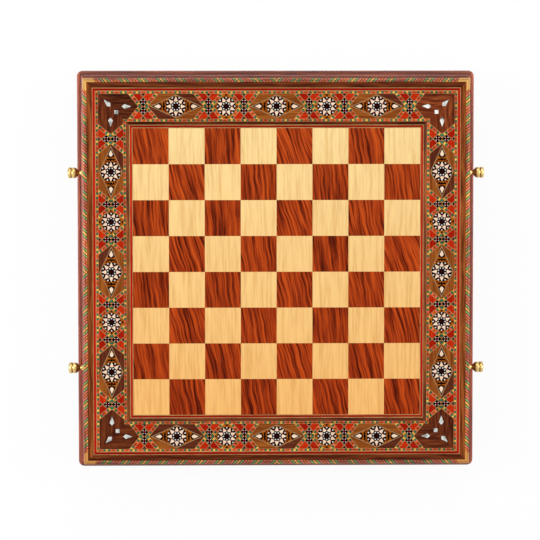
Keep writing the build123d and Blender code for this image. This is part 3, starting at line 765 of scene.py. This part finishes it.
class CHESS_OT_lay_rope(bpy.types.Operator):
    """Lays the slanted pieces of the edging, leaning away from the middle of each side"""

    bl_idname = "chess.lay_rope"
    bl_label = "Lay the Rope Edging"

    def section(self, sink):
        """Points of the rounded edge from the rim round to the side, sunk by a depth."""
        centre = (ROPE_OUT - ROPE_ROUND, TOP - ROPE_ROUND)
        radius = ROPE_ROUND - sink
        arc = [radians(90 - 90 * step / ROPE_STEPS) for step in range(ROPE_STEPS + 1)]
        points = [(ROPE_IN, TOP - sink)]
        points += [(centre[0] + radius * cos(angle), centre[1] + radius * sin(angle)) for angle in arc]
        return points + [(ROPE_OUT - sink, ROPE_LOW)]

    def reach(self, v, z):
        """Distance round the edge from its inner side to a point."""
        out, up = v - (ROPE_OUT - ROPE_ROUND), z - (TOP - ROPE_ROUND)
        flat = ROPE_OUT - ROPE_ROUND - ROPE_IN
        if out <= 0:
            return flat + out
        if up >= 0:
            return flat + ROPE_ROUND * atan2(out, up)
        return flat + ROPE_ROUND * pi / 2 - up

    def bar(self, section, start, end, colour, lean):
        """A length of one section, leaning along the edge."""
        piece = outline_face([(start, v, z) for v, z in section])
        edit(piece)
        bpy.ops.mesh.extrude_region_move(TRANSFORM_OT_translate={"value": ((end - start) * MM, 0, 0)})
        done()
        for vertex in piece.data.vertices:
            vertex.co.x += lean * self.reach(vertex.co.y / MM, vertex.co.z / MM) * MM
        piece.data.materials.append(finish(colour))
        return piece

    def execute(self, context):
        sizes = context.scene.inlay
        pitch, joint, lean = sizes.rope / MM, sizes.rope_joint / MM, sizes.rope_lean
        skin = self.section(0.0) + self.section(TOP - BED)[::-1]
        period = pitch * len(ROPE_ORDER)
        parts = [
            self.bar(skin, number * pitch + joint, (number + 1) * pitch, colour + "_rope", lean)
            for number, colour in enumerate(ROPE_ORDER)
        ]
        rope = join(parts, "rope")
        repeat(rope, int(ROPE_OUT / period) + 2, period)
        rope.data.transform(move_by(-period))
        inside = self.section(TOP - BED) + [(ROPE_IN, ROPE_LOW)]
        core = self.bar(inside, -pitch, ROPE_OUT, "rope_bed", 0.0)
        rope = join([rope, core], "rope")
        slice_off(rope, (0, 0, 0), (-1, 0, 0))
        slice_off(rope, (TIP_IN, ROPE_IN, 0), (ROPE_OUT - ROPE_IN, -TIP_LEAN, 0))
        lay_round(rope, [STAY, ACROSS], "rope_edging_", "tessera_mix", "rope_edging")
        return {"FINISHED"}


class CHESS_OT_lay_crosses(bpy.types.Operator):
    """Lays the crosses: tessera chevrons, red kites, chequered diamonds and edge triangles"""

    bl_idname = "chess.lay_crosses"
    bl_label = "Lay the Crosses"

    def arm(self, sizes):
        """One arm of a chevron band, from its notch to the edge of the strip."""
        pitch, joint, line = sizes.chevron_tessera / MM, sizes.joint / MM, sizes.chevron_line / MM
        reach = hypot(CHEVRON_RUN, STRIP_HALF)
        half = CHEVRON_BAND * STRIP_HALF / reach / 2
        # A few tesserae more at both ends, which are sawn off
        numbers = range(-2, int(reach / pitch) + 3)
        ends = (-3 * pitch, reach + 3 * pitch)
        parts = tessera_row(numbers, ends, (-half, half), pitch, joint, line, CHEVRON_SEAM, SEAM)
        arm = join(parts, "arm")
        slant = Matrix.Rotation(atan2(STRIP_HALF, CHEVRON_RUN), 4, "Z")
        arm.data.transform(move_by(CROSS_GAP + CHEVRON_BAND / 2) @ slant)
        slice_off(arm, (0, STEP, 0), (0, -1, 0))
        slice_off(arm, (0, STRIP_HALF, 0), (0, 1, 0))
        return arm

    def half_cross(self, sizes):
        """The upper half of a cross: two arms, two kites, a diamond, a triangle and their lines."""
        line = sizes.cross_line / MM
        arm = self.arm(sizes)
        shoulder = (DIAMOND_HALF - CROSS_GAP) * SLOPE
        peak = shoulder + DIAMOND_HALF * SLOPE
        spread = (STRIP_HALF - peak) / SLOPE
        arm_in = CROSS_GAP + CHEVRON_RUN
        slant = hypot(1, SLOPE)
        back = line / 2 * slant / SLOPE
        kite = [(DIAMOND_HALF + back / 2, shoulder + SLOPE * back / 2), (arm_in, STRIP_HALF)]
        kite += [(spread + back, STRIP_HALF), (back, peak)]
        left = [(-u, v) for u, v in kite]
        edge = [(0, peak + SLOPE * back), (spread - back, STRIP_HALF), (back - spread, STRIP_HALF)]
        parts = [
            arm,
            twin(arm, ACROSS),
            cut(kite, "bright_red_wood"),
            cut(left, "red_wood"),
            cut(edge, "brown_wood"),
        ]
        side = Vector((SLOPE, 1)) / slant * line / 2
        start, end = Vector((DIAMOND_HALF, shoulder)), Vector((-spread, STRIP_HALF))
        stroke = [start + side, end + side, end - side, start - side]
        stripe = cut(stroke, "grey_line", high=TOP - STEP)
        sunk = Matrix.Translation((0, 0, -STEP * MM))
        slice_off(stripe, (0, STRIP_HALF, 0), (0, 1, 0))
        parts += [stripe, twin(stripe, sunk @ ACROSS)]
        return parts + self.diamond(shoulder, peak)

    def diamond(self, shoulder, peak):
        """Nine small lozenges: black tips, bone edges and a dark red middle."""
        centre = Vector((0, shoulder))
        right = Vector((DIAMOND_HALF * DIAMOND_FILL[0], (peak - shoulder) * DIAMOND_FILL[1])) / 3
        left = Vector((-right.x, right.y))
        turns = ((1, 1), (-1, 1), (-1, -1), (1, -1))
        parts = []
        for i in (-1, 0, 1):
            for j in (-1, 0, 1):
                middle = centre + right * i + left * j
                colour, share = DIAMOND_PIECES[abs(i) + abs(j)]
                cell = [middle + (right * a + left * b) / 2 * share for a, b in turns]
                parts.append(cut(cell, colour))
        return parts

    def execute(self, context):
        half = join(self.half_cross(context.scene.inlay), "half_cross")
        arm_out = NOTCH + CHEVRON_RUN
        waist = [(NOTCH, 0), (arm_out, STRIP_HALF), (-arm_out, STRIP_HALF), (-NOTCH, 0)]
        waist += [(-arm_out, -STRIP_HALF), (arm_out, -STRIP_HALF)]
        bed = cut(waist, "black_bed", BED_LOW, BED)
        cross = join([half, twin(half, turn_by(180)), bed], "cross")
        spots = [move_by(place, STRIP_MIDDLE) for place in CROSS_PLACES]
        nodes = ("cross_chevrons", "cross_diamonds", "edge_triangles", "red_kites")
        lay_round(cross, spots, "crosses_", "tessera_mix", *nodes)
        return {"FINISHED"}


def sixteen(radii):
    """Corners round the middle, one for each of sixteen radii."""
    return [(radius * cos(step * pi / 8), radius * sin(step * pi / 8)) for step, radius in enumerate(radii)]


def star(radius):
    """Eight-pointed star medallion on a black disc: bone kites, rhombi and a small wreath."""
    scale = radius / STAR_RADIUS
    parts = [cut(sixteen([radius] * 16), "ebony", BED, MIDDLE)]
    # One of each kind of piece, pointing out along U, with its colour and the degrees it is turned by
    eighth = [
        ([(4.6, 0), (5.15, 1.9), (9.7, 0), (5.15, -1.9)], "cream_bone", 0),
        ([(5.4, 0), (6.8, 1.2), (7.6, 0), (6.8, -1.2)], "dark_red_wood", 22.5),
        ([(7.75, 0), (8.6, 0.88), (9.4, 0), (8.6, -0.88)], "bone", 22.5),
        ([(2.75, 0), (3.55, 0.82), (4.35, 0), (3.55, -0.82)], "bone", 22.5),
        ([(1.3, 0), (2.1, 0.5), (2.8, 0), (2.1, -0.5)], "brown_wood", 0),
    ]
    for outline, colour, offset in eighth:
        pattern = cut([(scale * u, scale * v) for u, v in outline], colour, MIDDLE, TOP)
        parts += [twin(pattern, turn_by(45 * step + offset)) for step in range(8)]
        drop(pattern)
    parts.append(cut(sixteen(STAR_HEART * 8), "brown_wood", MIDDLE, TOP))
    return join(parts, "star")


class CHESS_OT_lay_lozenges(bpy.types.Operator):
    """Lays the lozenges with their stars, drops and zigzags, and the wood wedges round them"""

    bl_idname = "chess.lay_lozenges"
    bl_label = "Lay the Lozenges"

    def lozenge(self, line):
        """One lozenge, point to point along the strip."""
        reach, rise = LOZENGE_HALF
        diamond = [(reach, 0), (0, rise), (-reach, 0), (0, -rise)]
        parts = [
            cut(diamond, "orange_wood", BED_LOW, BED),
            cut(diamond, "grey_line", ring=line),
            star(LOZENGE_STAR),
        ]
        # One end: surround, drop and spindle as halves, which are mirrored, and small rhombi beside them
        end = [
            ([(13.3, 0), (14.7, 3.1), (17.0, 4.2), (24.8, 0)], "brown_wood", BED, MIDDLE),
            ([(15.0, 0), (15.7, 1.1), (17.3, 2.05), (21.8, 0)], "cream_bone", MIDDLE, TOP),
            ([(10.1, 0), (11.4, 1.0), (11.5, 4.4), (12.8, 4.1), (13.1, 0)], "ebony", BED, TOP),
        ]
        end = [(half + [(u, -v) for u, v in half[-2:0:-1]], *rest) for half, *rest in end]
        end += [([(9.5, v), (10.4, v + 1.5), (11.3, v), (10.4, v - 1.5)], "dark_red_wood", BED, TOP)
                for v in (-4.9, 4.9)]
        end += [([(10.2, v), (10.8, v + 0.8), (11.4, v), (10.8, v - 0.8)], "brown_wood", BED, TOP)
                for v in (-2.6, 2.6)]
        for outline, colour, low, high in end:
            pattern = cut(outline, colour, low, high)
            parts += [pattern, twin(pattern, turn_by(180))]
        return join(parts, "lozenge")

    def wedge(self, colour):
        """One quarter of the ground beside a lozenge."""
        reach, rise = LOZENGE_HALF
        edge = LOZENGE_TAIL - CHEVRON_RUN
        outline = [(reach, 0), (LOZENGE_TAIL, 0), (edge, STRIP_HALF), (0, STRIP_HALF), (0, rise)]
        return cut(outline, colour, BED_LOW, TOP, gap=HAIR)

    def execute(self, context):
        lozenge = self.lozenge(context.scene.inlay.lozenge_line / MM)
        wedges = {"g": self.wedge("golden_veneer"), "d": self.wedge("dark_veneer")}
        quarters = (ACROSS @ OVER, ACROSS, OVER, STAY)
        for side, angle in SIDES.items():
            copies = []
            for place, tones in zip(LOZENGE_PLACES, WEDGES[side]):
                spot = turn_by(angle) @ move_by(place, STRIP_MIDDLE)
                copies.append(twin(lozenge, spot))
                copies += [twin(wedges[tone], spot @ quarter) for tone, quarter in zip(tones, quarters)]
            piece = join(copies, "lozenges_" + side)
            give(piece, "golden_walnut", "lozenges", "golden_grounds", "dark_grounds", "star_medallions")
        drop(lozenge, *wedges.values())
        return {"FINISHED"}


class CHESS_OT_lay_star_cells(bpy.types.Operator):
    """Lays the star medallions between two crosses, with the zigzag in their corners"""

    bl_idname = "chess.lay_star_cells"
    bl_label = "Lay the Star Cells"

    def execute(self, context):
        tail = STAR_CELL / 2 - NOTCH
        cell = [(tail, 0), (CELL_FLAT, STRIP_HALF), (-CELL_FLAT, STRIP_HALF)]
        cell += [(-u, -v) for u, v in cell]
        medallion = star(STAR_RADIUS)
        medallion.data.transform(turn_by(22.5))
        parts = [cut(cell, "orange_wood", BED_LOW, BED), medallion]
        for outline in (
            [(0, 10.0), (1.5, 11.2), (0, 12.4), (-1.5, 11.2)],
            [(10.0, 0), (11.0, 1.2), (12.2, 0), (11.0, -1.2)],
        ):
            pattern = cut(outline, "brown_wood")
            parts += [pattern, twin(pattern, turn_by(180))]
        unit = join(parts, "star_cell")
        spots = [move_by(place, STRIP_MIDDLE) for place in STAR_PLACES]
        lay_round(unit, spots, "star_cells_", "ebonised_wood", "star_cell_corners", "star_medallions")
        return {"FINISHED"}


class CHESS_OT_set_pearls(bpy.types.Operator):
    """Sets the pearl drops and squares into the corners, each in a dark line of painted shadow"""

    bl_idname = "chess.set_pearls"
    bl_label = "Set the Pearls"

    def set_in(self, node, outline, spots, line):
        """Sets pearls of one outline into all the corners."""
        # Painted shadow: the dark bed shows as a line round the pearl
        bed = cut(outline, "black_bed", BED_LOW, MIDDLE)
        pattern = join([bed, cut(outline, "polished_shell", BED, TOP, gap=line)], node)
        copies = [twin(pattern, turn_by(angle) @ spot) for angle in SIDES.values() for spot in spots]
        give(join(copies, "set_" + node), "mother_of_pearl", node)
        drop(pattern)

    def execute(self, context):
        line = context.scene.inlay.pearl_shadow_line / MM
        kite = [(0, 0), (PEARL_SHOULDER, PEARL_HALF_WIDTH), (PEARL_LENGTH, 0)]
        kite.append((PEARL_SHOULDER, -PEARL_HALF_WIDTH))
        half = PEARL_SQUARE / 2
        arm_end = STRIP_MIDDLE - PEARL_ARM
        start = STRIP_MIDDLE - PEARL_CORNER
        low = STRIP_MIDDLE - PEARL_SQUARE_IN
        drops = (
            move_by(arm_end, STRIP_MIDDLE) @ turn_by(180),
            move_by(STRIP_MIDDLE, arm_end) @ turn_by(-90),
            move_by(start, start) @ turn_by(45),
        )
        square = rectangle(-half, half, -half, half)
        self.set_in("pearl_drops", kite, drops, line)
        self.set_in("pearl_squares", square, [move_by(low, low)], line)
        return {"FINISHED"}


class CHESS_OT_turn_knobs(bpy.types.Operator):
    """Turns the brass knobs of both drawers on their axes"""

    bl_idname = "chess.turn_knobs"
    bl_label = "Turn the Knobs"

    def arc(self, start, end, swell, steps=8):
        """Points of a shallow arc from start to end, hollow where the swell is below zero."""
        points = []
        for step in range(steps):
            share = step / steps
            bulge = 4 * share * (1 - share) * swell
            out, radius = (first + (last - first) * share for first, last in zip(start, end))
            points.append((out, radius + bulge))
        return points

    def outline(self):
        """Half section from tail to dome: distance out of the drawer front and radius, in millimetres."""
        points = [(-11.0, 0.0), (-11.0, 1.5), (0.0, 1.5), (0.0, 3.85), (0.15, 4.0), (0.85, 4.0)]
        points += self.arc((1.0, 3.8), (4.8, 1.6), -0.3)
        points += [(4.8, 1.6), (8.5, 4.95)]
        points += self.arc((8.6, 5.05), (12.6, 5.1), 0.35)
        points += [(12.6, 5.0)]
        points += self.arc((12.7, 5.1), (16.2, 5.1), 0.52)
        points += self.arc((16.2, 5.1), (17.3, 0.0), 0.35)
        return points + [(17.3, 0.0)]

    def execute(self, context):
        for side, sign in (("left", -1), ("right", 1)):
            node = f"drawer_{side}_knobs"
            low, high = (Vector(corner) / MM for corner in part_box(node))
            height = (low.z + high.z) / 2
            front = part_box(f"drawer_{side}_front")[1 if sign > 0 else 0][0] / MM
            reach = (high.y - low.y) / 2 - KNOB_RADIUS
            points = self.outline()
            bpy.ops.mesh.primitive_circle_add(vertices=len(points), radius=MM)
            knob = bpy.context.object
            for vertex, (out, radius) in zip(knob.data.vertices, points):
                vertex.co = Vector((front + sign * out, 0, height + radius)) * MM
            edit(knob)
            middle = (front * MM, 0, height * MM)
            bpy.ops.mesh.spin(steps=KNOB_STEPS, angle=2 * pi, center=middle, axis=(1, 0, 0))
            bpy.ops.mesh.select_all(action="SELECT")
            bpy.ops.mesh.remove_doubles(threshold=0.001 * MM)
            bpy.ops.mesh.delete_loose(use_verts=True, use_edges=True, use_faces=False)
            done()
            knob.data.materials.append(finish("turned_brass"))
            copies = [twin(knob, move_by(0, turn * reach)) for turn in (-1, 1)]
            drop(knob)
            pair = join(copies, "turned_knobs_" + side)
            bpy.ops.object.shade_smooth_by_angle(angle=radians(KNOB_EDGE))
            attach(pair, "drawer_" + side)
            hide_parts(node)
        return {"FINISHED"}


class CHESS_OT_lay_felt(bpy.types.Operator):
    """Lays a felt lining on each drawer's bottom"""

    bl_idname = "chess.lay_felt"
    bl_label = "Lay the Felt Linings"

    def execute(self, context):
        for side in ("left", "right"):
            node = f"drawer_{side}_felt_lining"
            low, high = (Vector(corner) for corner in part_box(node))
            size = high - low
            bpy.ops.mesh.primitive_plane_add(size=1)
            felt = bpy.context.object
            felt.name = f"felt_lining_{side}"
            felt.data.transform(Matrix.LocRotScale((low + high) / 2, None, (size.x, size.y, 1)))
            edit(felt)
            bpy.ops.mesh.subdivide(number_cuts=FELT_CUTS)
            bpy.ops.object.mode_set(mode="OBJECT")
            for vertex in felt.data.vertices:
                wave = sin(vertex.co.x / (FELT_WAVES[0] * MM)) * sin(vertex.co.y / (FELT_WAVES[1] * MM))
                vertex.co.z = high.z - size.z / 2 + FELT_RISE * MM * wave
            thick = felt.modifiers.new("thickness", "SOLIDIFY")
            thick.thickness = size.z * FELT_SHARE
            thick.offset = 0
            bpy.ops.object.modifier_apply(modifier=thick.name)
            felt.data.materials.append(finish("pressed_felt"))
            bpy.ops.object.shade_smooth_by_angle(angle=radians(FELT_EDGE))
            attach(felt, "drawer_" + side)
            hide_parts(node)
        return {"FINISHED"}


class CHESS_OT_set_stage(bpy.types.Operator):
    """Sets the floor, the lamps, the sky and the camera above the board"""

    bl_idname = "chess.set_stage"
    bl_label = "Set the Stage"

    def lamp(self, name, place, size, watts):
        """A round lamp, aimed at the middle of the board."""
        data = bpy.data.lights.new(name, "AREA")
        data.shape = "DISK"
        data.size = size
        data.energy = watts
        lamp = bpy.data.objects.new(name, data)
        lamp.location = place
        lamp.rotation_euler = (-Vector(place)).to_track_quat("-Z", "Y").to_euler()
        bpy.context.collection.objects.link(lamp)

    def seen(self, tree):
        """1 for rays by which the camera sees a surface, straight or in a gloss, and 0 for all others."""
        rays = add(tree, "LightPath")
        shown = rays["Is Camera Ray"]
        for kind in ("Is Glossy Ray", "Is Transmission Ray"):
            shown = add(tree, "Math", {0: shown, 1: rays[kind]}, operation="MAXIMUM")[0]
        return shown

    def floor(self, colour):
        """A white floor that shows mostly its own white, with a faint shadow."""
        bpy.ops.mesh.primitive_plane_add(size=FLOOR_SIZE)
        floor = bpy.context.object
        floor.name = "floor"
        material = bpy.data.materials.new("white_paper")
        material.use_nodes = True
        tree = material.node_tree
        tree.nodes.remove(tree.nodes["Principled BSDF"])
        share = {0: self.seen(tree), 1: FLOOR_GLOW}
        share = add(tree, "Math", share, operation="MULTIPLY")[0]
        paper = add(tree, "BsdfDiffuse", {"Color": (*colour, 1)})[0]
        white = add(tree, "Emission", {"Color": (*colour, 1), "Strength": 1.0})[0]
        shader = add(tree, "MixShader", {0: share, 1: paper, 2: white})[0]
        connect(tree, tree.nodes["Material Output"], {"Surface": shader})
        floor.data.materials.append(material)

    def sky(self, strength):
        """White all round, which lights the board with a strength of its own."""
        world = bpy.data.worlds.new("studio")
        world.use_nodes = True
        tree = world.node_tree
        level = add(tree, "MapRange", {0: self.seen(tree), 3: strength, 4: 1.0})[0]
        connect(tree, tree.nodes["Background"], {"Strength": level, "Color": (1, 1, 1, 1)})
        bpy.context.scene.world = world

    def camera(self):
        """A camera high above the board, nearly straight over it."""
        data = bpy.data.cameras.new("camera")
        data.lens = data.sensor_width / 2 / tan(radians(ANGLE / 2))
        camera = bpy.data.objects.new("camera", data)
        place = Vector(CAMERA) * MM
        back = (place - Vector(AIM) * MM).normalized()
        right = Vector((0, 1, 0)).cross(back).normalized()
        turned = Matrix((right, back.cross(right), back)).transposed().to_4x4()
        camera.matrix_world = Matrix.Translation(place) @ turned @ Matrix.Rotation(radians(ROLL), 4, "Z")
        bpy.context.collection.objects.link(camera)
        bpy.context.scene.camera = camera

    def execute(self, context):
        stage = context.scene.stage
        self.floor(stage.backdrop)
        self.sky(stage.sky)
        for side, (place, size) in LAMPS.items():
            self.lamp("lamp_" + side, place, size, getattr(stage, side + "_light"))
        self.camera()
        context.scene.view_settings.view_transform = "Standard"
        return {"FINISHED"}


STEPS = (
    CHESS_OT_finish_wood,
    CHESS_OT_lay_bands,
    CHESS_OT_lay_strings,
    CHESS_OT_lay_rope,
    CHESS_OT_lay_crosses,
    CHESS_OT_lay_lozenges,
    CHESS_OT_lay_star_cells,
    CHESS_OT_set_pearls,
    CHESS_OT_turn_knobs,
    CHESS_OT_lay_felt,
    CHESS_OT_set_stage,
)


class CHESS_PT_board(bpy.types.Panel):
    """Steps that finish the board"""

    bl_label = "Inlaid Chess Board"
    bl_space_type = "VIEW_3D"
    bl_region_type = "UI"
    bl_category = "Chess Board"

    def draw(self, context):
        for step in STEPS:
            self.layout.operator(step.bl_idname)
        for settings in (context.scene.inlay, context.scene.finishes, context.scene.stage):
            for name in settings.__annotations__:
                self.layout.prop(settings, name)


CLASSES = (InlaySettings, FinishSettings, StageSettings, *STEPS, CHESS_PT_board)


def register():
    for each in CLASSES:
        bpy.utils.register_class(each)
    bpy.types.Scene.inlay = bpy.props.PointerProperty(type=InlaySettings)
    bpy.types.Scene.finishes = bpy.props.PointerProperty(type=FinishSettings)
    bpy.types.Scene.stage = bpy.props.PointerProperty(type=StageSettings)


def unregister():
    del bpy.types.Scene.inlay
    del bpy.types.Scene.finishes
    del bpy.types.Scene.stage
    for each in reversed(CLASSES):
        bpy.utils.unregister_class(each)


def main():
    register()
    for step in STEPS:
        group, name = step.bl_idname.split(".")
        getattr(getattr(bpy.ops, group), name)()


if __name__ == "__main__":
    main()
